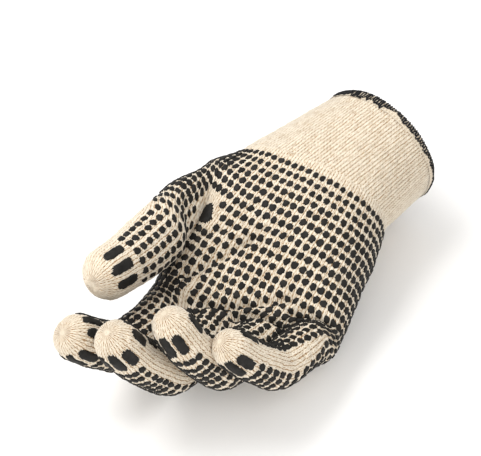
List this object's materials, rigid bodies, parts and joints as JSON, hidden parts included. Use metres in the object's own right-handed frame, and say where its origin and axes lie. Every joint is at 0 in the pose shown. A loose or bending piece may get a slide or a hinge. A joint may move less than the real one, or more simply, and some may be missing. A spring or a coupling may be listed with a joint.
{
  "type": "knitted work glove",
  "caption": "Right-hand string-knit cotton work glove with printed PVC grip dots and bars, curled as on a hand, with an open cuff and a dark overlocked hem.",
  "frame": {"origin": "middle of the cuff's open end, in the plane of that end", "axes": "+X along the cuff towards the fingers, +Y the little finger's side, +Z the side that the palm faces; the opening faces -X"},
  "size_m": [0.2223, 0.1209, 0.0857],
  "materials": {
    "knit": "undyed cream string knit, matt",
    "pvc_print": "dark grey PVC print, satin",
    "hem_thread": "black elastic overlock thread, matt"
  },
  "bodies": {
    "root": {"knit_cuff": "knit", "overlock_hem": "hem_thread", "hand_body": "knit", "thumb": "knit", "index_finger": "knit", "middle_finger": "knit", "ring_finger": "knit", "little_finger": "knit", "thumb_palm_bar_1": "pvc_print", "thumb_palm_bar_2": "pvc_print", "thumb_palm_bar_3": "pvc_print", "thumb_back_bar_1": "pvc_print", "thumb_back_bar_2": "pvc_print", "thumb_back_bar_3": "pvc_print", "index_finger_palm_bar_1": "pvc_print", "index_finger_palm_bar_2": "pvc_print", "index_finger_palm_bar_3": "pvc_print", "index_finger_back_bar_1": "pvc_print", "index_finger_back_bar_2": "pvc_print", "index_finger_back_bar_3": "pvc_print", "middle_finger_palm_bar_1": "pvc_print", "middle_finger_palm_bar_2": "pvc_print", "middle_finger_palm_bar_3": "pvc_print", "middle_finger_back_bar_1": "pvc_print", "middle_finger_back_bar_2": "pvc_print", "middle_finger_back_bar_3": "pvc_print", "ring_finger_palm_bar_1": "pvc_print", "ring_finger_palm_bar_2": "pvc_print", "ring_finger_palm_bar_3": "pvc_print", "ring_finger_back_bar_1": "pvc_print", "ring_finger_back_bar_2": "pvc_print", "ring_finger_back_bar_3": "pvc_print", "little_finger_palm_bar_1": "pvc_print", "little_finger_palm_bar_2": "pvc_print", "little_finger_palm_bar_3": "pvc_print", "little_finger_back_bar_1": "pvc_print", "little_finger_back_bar_2": "pvc_print", "little_finger_back_bar_3": "pvc_print", "thumb_drop": "pvc_print"}
  },
  "joints": []
}
